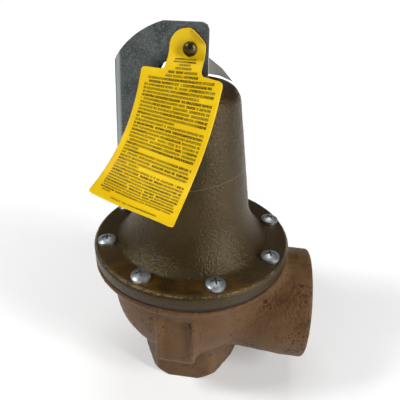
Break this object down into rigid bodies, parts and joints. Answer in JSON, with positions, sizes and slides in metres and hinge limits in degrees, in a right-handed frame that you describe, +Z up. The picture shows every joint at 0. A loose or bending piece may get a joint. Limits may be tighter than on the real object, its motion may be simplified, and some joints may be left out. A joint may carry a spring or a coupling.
{
  "type": "pressure relief valve",
  "caption": "Cast-bronze boiler pressure relief valve with threaded hex inlet, side outlet, screwed-on spring tower, sheet-steel test lever and hanging tag.",
  "frame": {"origin": "centre of the inlet's bottom face", "axes": "+Z up along the inlet and the stem, +X along the outlet's axis out of its mouth, -Y the front with the lever pin's head"},
  "size_m": [0.1475, 0.144, 0.2422],
  "materials": {
    "body_bronze": "as-cast, reddish brown, satin",
    "bonnet_bronze": "as-cast, dark olive brown, semi-gloss",
    "screw_zinc": "zinc plated",
    "machined_bronze": "machined bronze",
    "diaphragm_rubber": "matte black rubber",
    "disc_rubber": "silicone rubber, matte",
    "brass": "turned brass",
    "plated_steel": "zinc plated steel",
    "spring_steel": "spring steel",
    "stem_brass": "turned brass",
    "lever_galvanised": "galvanised sheet, mottled",
    "pin_brass": "dark tarnished brass",
    "tag_vinyl": "printed yellow vinyl sheet"
  },
  "bodies": {
    "valve": {"body": "body_bronze", "bonnet": "bonnet_bronze", "flange_screws": "screw_zinc", "seat_ring": "machined_bronze", "diaphragm": "diaphragm_rubber", "spring": "spring_steel", "upper_spring_button": "plated_steel", "adjusting_screw": "machined_bronze", "lock_ring": "machined_bronze"},
    "stem_group": {"stem": "stem_brass", "lift_bushing": "stem_brass", "lever_pin": "pin_brass", "pin_washer": "screw_zinc", "pin_clip": "spring_steel", "lower_spring_button": "plated_steel", "upper_plate": "plated_steel", "lower_plate": "machined_bronze", "stem_nut": "plated_steel", "disc_holder": "machined_bronze", "disc": "disc_rubber", "disc_washer": "brass", "disc_screw": "brass"},
    "lever": {"lever": "lever_galvanised"},
    "tag": {"tag": "tag_vinyl"}
  },
  "joints": [
    {"name": "stem_lift", "type": "slide", "parent": "valve", "child": "stem_group", "axis": [0, 0, 1], "range_m": [0, 0.0081], "stiffness_N_per_m": 60, "springref_m": -0.004, "deforming": ["spring", "diaphragm"]},
    {"name": "lever_swing", "type": "hinge", "parent": "stem_group", "child": "lever", "pos_m": [0, 0, 0.23], "axis": [0, 1, 0], "range_deg": [0, 22]},
    {"name": "tag_swing", "type": "hinge", "parent": "stem_group", "child": "tag", "pos_m": [0, -0.014, 0.23], "axis": [0, 1, 0], "range_deg": [-4, 4]}
  ],
  "couplings": [
    {"joint": "stem_lift", "follows": "lever_swing", "m_per_rad": 0.0209}
  ]
}
